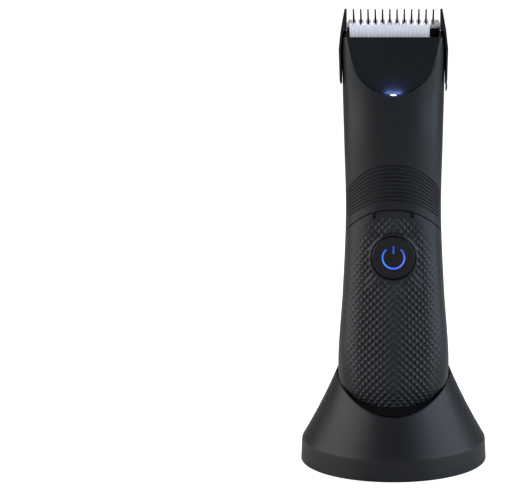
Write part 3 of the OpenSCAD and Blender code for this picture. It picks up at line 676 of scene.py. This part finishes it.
# ---------------------------------------------------------------- inside of the handle
# Chassis, board, cell, motor and their small parts keep the frame's shapes.
seal_rubber = moulded("seal_rubber", (0.012, 0.012, 0.012), (0.02, 0.02, 0.02), 0.8, 2000, 0.03)
motor_steel = moulded("motor_steel", (0.45, 0.45, 0.47), (0.6, 0.6, 0.62), 0.3, 1500, 0.006, metal=1)
tab_nickel = moulded("tab_nickel", (0.55, 0.54, 0.5), (0.66, 0.65, 0.6), 0.3, 1500, 0.006, metal=1)
led_white = moulded("led_white", (0.75, 0.78, 0.8), (0.85, 0.88, 0.9), 0.3, 800, 0.01, coat=0.5)
for node, material in (("contact_plate", holder_black), ("charge_contacts", contact_gold),
                       ("body_gasket", seal_rubber), ("button_seal", seal_rubber),
                       ("motor_seal", seal_rubber), ("housing_screws", plated_steel),
                       ("main_pcb", board_green), ("button_led", led_white),
                       ("spotlight_led", led_white), ("battery_tabs", tab_nickel),
                       ("motor_can", motor_steel), ("motor_shaft", motor_steel),
                       ("motor_bracket", tab_nickel)):
    carry(node, material)
carry("chassis", moulded("chassis_grey", (0.16, 0.17, 0.18), (0.22, 0.23, 0.24), 0.55, 900, 0.03))
carry("tact_switch", moulded("switch_grey", (0.10, 0.10, 0.11), (0.16, 0.16, 0.17), 0.45, 900, 0.02))
carry("battery", moulded("cell_wrap", (0.03, 0.16, 0.09), (0.05, 0.22, 0.12), 0.35, 500, 0.02, coat=0.5))
carry("motor_leads", moulded("lead_red", (0.42, 0.02, 0.02), (0.55, 0.03, 0.03), 0.5, 900, 0.02))
carry("eccentric_cam", moulded("cam_white", (0.72, 0.72, 0.68), (0.82, 0.82, 0.78), 0.4, 900, 0.01))


# ---------------------------------------------------------------- spotlight
# Lens-shaped window of clear acrylic in the scoop's lower lip, with a cold white LED behind
# it that washes up the scoop.
LENS_Z, LENS_HALF_W, LENS_HALF_H = 136.75, 1.6, 0.5
LENS_FRONT, LENS_BACK = -24.0, -22.6


def glowing(name, stops, strength, half, dim_from=None):
    """Lit plastic whose colour runs through the stops along X, from -half to half in metres. It
    dims upwards from the height dim_from, over twice that half width."""
    material = bpy.data.materials.new(name)
    material.use_nodes = True
    tree = material.node_tree
    shader = tree.nodes["Principled BSDF"]
    fill(shader, "Roughness", 0.3)
    fill(shader, "Emission Strength", strength)
    where = tree.nodes.new("ShaderNodeTexCoord")
    split = tree.nodes.new("ShaderNodeSeparateXYZ")
    along = tree.nodes.new("ShaderNodeMapRange")
    fill(along, "From Min", -half)
    fill(along, "From Max", half)
    ramp = tree.nodes.new("ShaderNodeValToRGB")
    ramp.color_ramp.elements[0].color = (*stops[0], 1)
    ramp.color_ramp.elements[1].color = (*stops[-1], 1)
    for k, stop in enumerate(stops[1:-1], 1):
        ramp.color_ramp.elements.new(k / (len(stops) - 1)).color = (*stop, 1)
    link(tree, where, "Object", split, "Vector")
    link(tree, split, "X", along, "Value")
    link(tree, along, "Result", ramp, "Fac")
    colour = ramp.outputs["Color"]
    if dim_from is not None:
        up = tree.nodes.new("ShaderNodeMapRange")
        fill(up, "From Min", dim_from)
        fill(up, "From Max", dim_from + 2 * half)
        dim = tree.nodes.new("ShaderNodeValToRGB")
        dim.color_ramp.elements[0].color = (1, 1, 1, 1)
        dim.color_ramp.elements[1].color = (0.25, 0.25, 0.4, 1)
        times = tree.nodes.new("ShaderNodeMix")
        times.data_type, times.blend_type = "RGBA", "MULTIPLY"
        fill(times, "Factor", 1)
        link(tree, split, "Z", up, "Value")
        link(tree, up, "Result", dim, "Fac")
        tree.links.new(colour, times.inputs["A"])
        link(tree, dim, "Color", times, "B")
        colour = times.outputs["Result"]
    tree.links.new(colour, shader.inputs["Base Color"])
    tree.links.new(colour, shader.inputs["Emission Color"])
    return material


# a pointed oval, domed forwards: height over it is a product of parabolas
lens_a = np.linspace(-1, 1, 25)[None, :]
lens_b = np.linspace(-1, 1, 11)[:, None]
lens_x = LENS_HALF_W * lens_a + 0 * lens_b
lens_z = LENS_Z + LENS_HALF_H * lens_b * (1 - lens_a ** 2)
lens_y = LENS_FRONT - 0.3 * (1 - lens_b ** 2) * (1 - lens_a ** 2)
lens_skin = np.stack([lens_x, lens_y, lens_z], -1)
led_lens = wall("led_lens", lens_skin, np.stack([lens_x, 0 * lens_y + LENS_BACK, lens_z], -1))
place(led_lens, "handle", "led_lens", "lens_glow",
      glowing("lens_glow", [(0.7, 0.8, 1), (1, 1, 1), (0.7, 0.8, 1)], 1.4, half=0.0016))
wash = soft_light("wash", (0, -0.0258, 0.1376), (0, -0.0226, 0.1402), (0.0055, 0.0005), 0.00058,
                  (0.22, 0.34, 1.0))
wash.parent = led_lens


# ---------------------------------------------------------------- power button
# Round cap with a shallow dish and a rounded rim; the power symbol is a separate light pipe
# pressed in flush. The cap is satin ABS.
CAP_R, CAP_FLAT_R, CAP_FRONT = 7.65, 7.3, -19.85
CAP_BACK = -17.4
MARK_R, MARK_W, MARK_BREAK = 3.92, 0.64, math.radians(40)

cap_turn = np.linspace(0, 2 * math.pi, 96, endpoint=False)[None, :]
roll = np.linspace(0, math.pi / 2, 9)
cap_r = np.concatenate([np.linspace(0.0, 1, 16)[:-1] * CAP_FLAT_R,
                        CAP_FLAT_R + (CAP_R - CAP_FLAT_R) * np.sin(roll), [CAP_R, CAP_R, CAP_R, 0]])[:, None]
dish = 0.16 * (1 - np.clip(cap_r / CAP_FLAT_R, 0, 1) ** 2)
cap_y = np.concatenate([CAP_FRONT + dish[:15, 0], CAP_FRONT + 0.3 * (1 - np.cos(roll)),
                        [-19.0, -18.2, CAP_BACK, CAP_BACK]])[:, None]
cap = np.stack([cap_r * np.sin(cap_turn), cap_y + 0 * cap_turn, BUTTON_Z - cap_r * np.cos(cap_turn)], -1)


def tube_faces(rows, columns, start=0):
    """Quads of a surface closed round its columns."""
    index = start + np.arange(rows * columns).reshape(rows, columns)
    nxt = np.roll(index, -1, 1)
    return np.stack([index[:-1], nxt[:-1], nxt[1:], index[1:]], -1).reshape(-1, 4)


power_button = mesh_from("power_button", cap, tube_faces(cap_r.size, 96)[:, ::-1])
button_black = moulded("button_satin_black", (0.006, 0.007, 0.008), (0.009, 0.010, 0.011), 0.40,
                       grain=2600, bump=0.006)
place(power_button, "button", "power_button", "button_satin_black", button_black)

# both strokes of the symbol have one section: flat, with its long edges rolled over
section_w = np.array([-1, -0.92, -0.6, 0, 0.6, 0.92, 1]) * MARK_W / 2
section_y = np.array([0.2, 0.1, 0.06, 0.05, 0.06, 0.1, 0.2]) + CAP_FRONT
sweep = np.linspace(math.pi + MARK_BREAK, 3 * math.pi - MARK_BREAK, 72)[None, :]
arc_r = (MARK_R + section_w)[:, None]
arc_x, arc_z = -arc_r * np.sin(sweep), BUTTON_Z - arc_r * np.cos(sweep)
arc = np.stack([arc_x, section_y[:, None] + 0 * arc_x, arc_z], -1)
bar_z = BUTTON_Z + np.linspace(1.5, 4.25, 9)[None, :]
bar = np.stack(np.broadcast_arrays(section_w[:, None], section_y[:, None], bar_z), -1)
parts, faces, start = [], [], 0
for stroke in (arc, bar[::-1]):
    behind = stroke * [1, 0, 1] + [0, CAP_FRONT + 0.5, 0]
    parts += [stroke.reshape(-1, 3), behind.reshape(-1, 3)]
    faces.append(wall_faces(stroke.shape[:2]) + start)
    start += 2 * stroke[..., 0].size
power_symbol = mesh_from("power_symbol", np.concatenate(parts), np.concatenate(faces))
place(power_symbol, "button", "power_symbol", "symbol_blue_glow",
      glowing("symbol_blue_glow", [(0.06, 0.27, 0.85), (0.05, 0.15, 0.95), (0.06, 0.12, 0.95),
                                   (0.14, 0.20, 0.90)], 0.85, half=0.0043, dim_from=0.0755))


# ---------------------------------------------------------------- blade carrier
# Matt black block that the blades are screwed to; it drops on to the slanted head.
carry("blade_carrier", moulded("carrier_matte_black", (0.006, 0.006, 0.0065),
                               (0.010, 0.010, 0.0105), 0.5, grain=1500, bump=0.02))
carry("blade_screws", plated_steel)
spring_steel = moulded("spring_steel", (0.4, 0.4, 0.42), (0.55, 0.55, 0.56), 0.28, 1500, 0.004, metal=1)
carry("blade_spring", spring_steel)
carry("drive_yoke", moulded("yoke_black", (0.015, 0.015, 0.016), (0.025, 0.025, 0.026), 0.5, 1200, 0.015))


# ---------------------------------------------------------------- fixed blade
# Steel comb plate: fine tapered teeth between two broad rounded lobes, so that it can't nick
# the skin. The teeth and a strip below them have the steel colour; lower down the plate is near black.
BLADE_TILT = math.radians(40)
BLADE_TIP = (-22.0, 163.4)


def blade_points(x, u, v):
    """Blade frame to object frame: u climbs towards the tips, v goes to the front face."""
    y = BLADE_TIP[0] - u * math.sin(BLADE_TILT) - v * math.cos(BLADE_TILT)
    z = BLADE_TIP[1] + u * math.cos(BLADE_TILT) - v * math.sin(BLADE_TILT)
    return np.stack(np.broadcast_arrays(x, y, z), -1)


def toothed_columns(centre, half_w):
    """For teeth at those centres: each column's tooth centre, offset in half widths, and
    whether it stands in the slot beside the tooth."""
    offset = np.array([-1, -0.8, -0.4, 0, 0.4, 0.8, 1, 1])
    x0 = np.repeat(centre, 8)
    rel = np.tile(offset, centre.size)
    width = np.repeat(half_w, 8)
    in_slot = np.tile(np.arange(8) == 7, centre.size)
    return x0[:-1], rel[:-1], width[:-1], in_slot[:-1]


def toothed_blade(centre, half_w, rows, root, front, taper, thin, groove=None):
    """Plate with teeth. Above the root the slots are open. Over the last taper of their length
    the teeth narrow to two thirds, end in a half round and thin down by thin at the front."""
    x0, rel, width, in_slot = toothed_columns(centre, half_w)
    u = np.asarray(rows, float)[:, None]
    tip = rows[-1]
    near_tip = smooth_step(u, tip - taper, tip)
    x = x0 + rel * width * (1 - 0.34 * near_tip)
    x[:, in_slot] = (x[:, np.flatnonzero(in_slot) - 1] + x[:, np.flatnonzero(in_slot) + 1]) / 2
    half_round = np.minimum(width, 0.8) * (1 - np.sqrt(np.maximum(1 - rel ** 2, 0)))
    climb = np.clip((u - root) / (tip - root), 0, 1) ** 3
    u = u - climb * half_round
    crown = 0.10 * rel ** 4 * smooth_step(u, root - 1.5, root)
    v = front - crown - thin * near_tip
    if groove is not None:
        v = v - np.where(in_slot, groove[0] * smooth_step(u, groove[1], groove[1] + 0.3), 0)
    low = np.asarray(rows)[:-1, None] + 1e-6 < root
    keep = low | ~(in_slot[:-1] | in_slot[1:])[None, :]
    return x, u, v, keep


FIXED_HALF_W, TANG_HALF_W, FIXED_T = 32.7 / 2, 15.5, 0.8
FIXED_ROOT, FIXED_TAPER = -2.6, 2.4
LOBE = 1.25
fixed_x = np.concatenate([[-FIXED_HALF_W + LOBE], (np.arange(22) - 10.5) * 1.262, [FIXED_HALF_W - LOBE]])
fixed_half = np.concatenate([[LOBE], np.full(22, 0.32), [LOBE]])
fixed_rows = np.concatenate([[-14, -13.8, -10, -6.6, -5.5, -4.2, -3.2, FIXED_ROOT],
                             np.linspace(-2.4, -0.6, 8), [-0.4, -0.25, -0.12, 0.0]])
x, u, v, solid = toothed_blade(fixed_x, fixed_half, fixed_rows, FIXED_ROOT, FIXED_T, FIXED_TAPER, 0.4)
x = np.where(u < -6.55, x * TANG_HALF_W / FIXED_HALF_W, x)
fixed_skin = blade_points(x, u, v)
fixed_blade = wall("fixed_blade", fixed_skin, blade_points(x, u, 0 * v), keep=solid, sharp=35)
blade_steel = moulded("blade_steel", (0.58, 0.57, 0.55), (0.72, 0.71, 0.68), 0.45, grain=1400,
                      bump=0.004, metal=0.25)
steel = blade_steel.node_tree
# base colour near black below a set height, steel colour above it
height = steel.nodes.new("ShaderNodeSeparateXYZ")
bright = steel.nodes.new("ShaderNodeMapRange")
fill(bright, "From Min", 0.1602)
fill(bright, "From Max", 0.1605)
finish = steel.nodes.new("ShaderNodeMix")
finish.data_type = "RGBA"
fill(finish, "A", (0.008, 0.008, 0.009, 1))
link(steel, steel.nodes["Texture Coordinate"], "Object", height, "Vector")
link(steel, height, "Z", bright, "Value")
link(steel, bright, "Result", finish, "Factor")
link(steel, steel.nodes["Color Ramp"], "Color", finish, "B")
link(steel, finish, "Result", steel.nodes["Principled BSDF"], "Base Color")
place(fixed_blade, "blade_head", "fixed_blade", "blade_steel", blade_steel)


# ---------------------------------------------------------------- moving blade
# White zirconia cutter that slides across the steel one: grooved between its teeth, with a
# plain strip and rounded corners at its foot.
CRANK = 1.35
MOVING_HALF_W, MOVING_PITCH, MOVING_TOOTH = 14.0, 1.333, 0.48
MOVING_TIP, MOVING_ROOT, MOVING_BACK, MOVING_FRONT = -0.9, -1.8, 0.86, 2.16
moving_x = (np.arange(21) - 10) * MOVING_PITCH
moving_rows = MOVING_TIP + np.concatenate([
    [-8.6, -8.55, -8.4, -8.1, -7.8, -7.6, -7.0, -6.3, -6.0, -5.85, -5.7, -5.0],
    [-4.2, -3.2, -2.2, -1.4, -0.9], np.linspace(-0.75, -0.3, 4), [-0.2, -0.1, 0]])
x, u, v, solid = toothed_blade(moving_x, np.full(21, MOVING_TOOTH), moving_rows, MOVING_ROOT,
                               MOVING_FRONT, 0.8, 0.45, groove=(0.26, -6.9))
x = x * MOVING_HALF_W / (10 * MOVING_PITCH + MOVING_TOOTH)
corner = np.clip(-8.4 - u, 0, 1.09)
limit = MOVING_HALF_W - 1.1 * (1 - np.sqrt(1 - (corner / 1.1) ** 2))
x = np.clip(x, -limit, limit)
v = v - edge_roll(u + 9.5, 0.25)
moving_skin = blade_points(x - CRANK, u, v)
moving_lining = blade_points(x - CRANK, u, 0 * v + MOVING_BACK)
moving_blade = wall("moving_blade", moving_skin, moving_lining, keep=solid, sharp=35)
blade_ceramic = moulded("blade_ceramic", (0.84, 0.86, 0.93), (0.89, 0.90, 0.96), 0.32, grain=900,
                        bump=0.004, coat=0.2)
# painted glow: a faint lilac-white emission brightens the ceramic, which gives off no light of its own
ceramic_painted_glow = blade_ceramic.node_tree.nodes["Principled BSDF"]
fill(ceramic_painted_glow, "Emission Color", (0.88, 0.90, 1, 1))
fill(ceramic_painted_glow, "Emission Strength", 0.24)
place(moving_blade, "cutter", "moving_blade", "blade_ceramic", blade_ceramic)


# ---------------------------------------------------------------- guide comb
# One black nylon moulding: twelve thin curved teeth with rounded ends that stand off the
# blades, side walls that clip over the head, and a plate along the slanted back.
COMB_PITCH = 2.55
CHAMFER = np.array([-13.0, 159.0])
CHAMFER_ALONG = np.array([0.7199, -0.694])
CHAMFER_OUT = np.array([0.694, 0.7199])


def chamfer_at(s, n):
    """Point s down the slanted back and n out from it, as Y and Z."""
    return CHAMFER + s * CHAMFER_ALONG + n * CHAMFER_OUT


def smooth_line(points, count):
    """Even points on a Catmull-Rom curve through the given ones."""
    points = np.asarray(points, float)
    ends = np.vstack([2 * points[0] - points[1], points, 2 * points[-1] - points[-2]])
    t = np.linspace(0, len(points) - 1.0001, count)
    k = t.astype(int)
    f = (t - k)[:, None]
    a, b, c, d = ends[k], ends[k + 1], ends[k + 2], ends[k + 3]
    return 0.5 * (2 * b + (c - a) * f + (2 * a - 5 * b + 4 * c - d) * f ** 2
                  + (3 * b - a - 3 * c + d) * f ** 3)


upper = smooth_line([chamfer_at(2.8, 1.5), [-12.6, 162.2], [-15.2, 164.7], [-18, 166.5], [-20.2, 167.0]], 22)
lower = smooth_line([chamfer_at(0.8, 0.5), [-15, 161], [-17.2, 163.1], [-19.2, 165.2], [-20.5, 166.4]], 22)
middle = (upper + lower) / 2
reach = (upper - lower) / 2
ring_turn = np.linspace(0, 2 * math.pi, 12, endpoint=False)
share = np.linspace(0, 1, 22)
half_t = np.interp(share, [0, 0.25, 0.5, 0.8, 0.93, 1], [0.5, 0.42, 0.34, 0.26, 0.3, 0.24])
ring_x = half_t[:, None] * np.sign(np.cos(ring_turn)) * np.abs(np.cos(ring_turn)) ** 0.7
lift = np.sign(np.sin(ring_turn)) * np.abs(np.sin(ring_turn)) ** 0.7
ring_yz = middle[:, None, :] + lift[None, :, None] * reach[:, None, :]
tooth = np.concatenate([ring_x[..., None], ring_yz], -1)
tip = tooth[-1:].mean(1, keepdims=True) + 0 * tooth[-1:]
past = tooth[-1:] * 0.45 + tip * 0.55 + [0, -0.12, 0.12]
tooth = np.concatenate([tooth[:1].mean(1, keepdims=True) + 0 * tooth[:1], tooth, past,
                        tip + [0, -0.16, 0.16]])
teeth_x = (np.arange(12) - 5.5) * COMB_PITCH
teeth = tooth[None] + teeth_x[:, None, None, None] * [1, 0, 0]
teeth_faces = tube_faces(tooth.shape[0], 12)[None] + (np.arange(12) * tooth[..., 0].size)[:, None, None]

# side walls: rows of points from the front edge to the back edge
wall_z = np.concatenate([[140.8, 140.9, 141.2, 141.7], np.linspace(142.4, 146.0, 6),
                         np.linspace(146.6, 166.0, 26), [166.4, 166.8, 167.0, 167.1]])
front_y = np.interp(wall_z, [140.8, 141.2, 142.4, 150, 158, 164, 166.4, 167.1],
                    [-13.6, -15.2, -16.2, -17.5, -20.2, -21.0, -20.8, -20.2])
rear_y = np.interp(wall_z, [140.8, 141.2, 142.4, 146.0, 146.6, 158.2, 162.2, 164.7, 166.6, 167.1],
                   [-9.4, -8.0, -7.0, -4.6, 1.9, -10.0, -12.6, -15.2, -18.0, -19.8])
inner_x = np.interp(wall_z, [140.8, 153, 158.9, 159.6, 167], [18.45, 18.45, 17.8, 16.65, 16.4])
outer_x = np.interp(wall_z, [140.8, 142, 153, 159.5, 167], [18.95, 19.15, 19.35, 18.55, 17.15])
spread = (1 - np.cos(np.linspace(0, math.pi, 15))) / 2
side_y = front_y[:, None] + (rear_y - front_y)[:, None] * spread
from_edge = np.minimum(side_y - front_y[:, None], rear_y[:, None] - side_y)
rolled = edge_roll(from_edge, 0.3)
side_z = wall_z[:, None] + 0 * side_y
left_out = np.stack([-(outer_x[:, None] - rolled), side_y, side_z], -1)
left_in = np.stack([-(inner_x[:, None] + 0.5 * rolled), side_y, side_z], -1)
side_faces = wall_faces(side_y.shape)

# back plate, with five low ribs to push it off by
PLATE_HALF_W, PLATE_TOP = 18.6, 1.6
RIBS_FROM, RIBS_TO = 15.8, 23.0
plate_s = np.concatenate([[0.6, 0.7, 0.9, 1.4], np.linspace(2.2, 15, 12), np.linspace(15.4, 23.4, 41),
                          [24.2, 24.7, 24.9, 25.0]])[:, None]
plate_x = PLATE_HALF_W * np.sin(np.linspace(-math.pi / 2, math.pi / 2, 31))[None, :]
plate_x = plate_x * np.interp(plate_s, [0.6, 3.2, 25], [0.955, 1, 1])
ribbed = (plate_s > RIBS_FROM) & (plate_s < RIBS_TO)
ribs = 0.3 * np.maximum(0, np.sin((plate_s - RIBS_FROM) / (RIBS_TO - RIBS_FROM) * 10 * math.pi)) * ribbed
ribs = ribs * (1 - smooth_step(np.abs(plate_x), 9.5, 10.5))
ends = edge_roll(np.minimum(plate_s - 0.6, 25 - plate_s), 0.4)
plate_n = PLATE_TOP + ribs - ends - edge_roll(PLATE_HALF_W - np.abs(plate_x), 0.4)


def on_chamfer(x, s, n):
    """Points of the slanted back's frame as X, Y and Z."""
    x, s, n = np.broadcast_arrays(x, s, n)
    y = CHAMFER[0] + s * CHAMFER_ALONG[0] + n * CHAMFER_OUT[0]
    z = CHAMFER[1] + s * CHAMFER_ALONG[1] + n * CHAMFER_OUT[1]
    return np.stack([x, y, z], -1)


plate_top = on_chamfer(plate_x, plate_s, plate_n)
plate_low = on_chamfer(plate_x, plate_s, 0.4 + 0.2 * ends)
latch_a = np.linspace(-1, 1, 9)[None, :]
latch_b = np.linspace(-1, 1, 9)[:, None]
latch_y = -10.5 + 2.0 * latch_a * (1 - 0.15 * latch_b ** 2)
latch_z = 140.0 + 2.0 * latch_b * (1 - 0.15 * latch_a ** 2)
latch_x = 19.3 - 0.55 * np.maximum(np.abs(latch_a), np.abs(latch_b)) ** 4 + 0 * latch_y
latch = np.stack([latch_x, latch_y, latch_z], -1)
latch_in = np.stack([0 * latch_x + 18.65, latch_y, latch_z], -1)

points, faces, start = [], [], 0
for grid, cells in ((teeth, teeth_faces.reshape(-1, 4)),
                    (np.stack([left_out, left_in]), side_faces[:, ::-1]),
                    (np.stack([left_out * [-1, 1, 1], left_in * [-1, 1, 1]]), side_faces),
                    (np.stack([plate_top, plate_low]), wall_faces(plate_top.shape[:2])),
                    (np.stack([latch, latch_in]), wall_faces(latch.shape[:2]))):
    points.append(grid.reshape(-1, 3))
    faces.append(cells + start)
    start += points[-1].shape[0]
guide_comb = mesh_from("guide_comb", np.concatenate(points), np.concatenate(faces), sharp=40)
comb_black = moulded("comb_black", (0.005, 0.005, 0.0055), (0.009, 0.009, 0.0095), 0.36, grain=1800,
                     bump=0.01)
place(guide_comb, "comb", "guide_comb", "comb_black", comb_black)
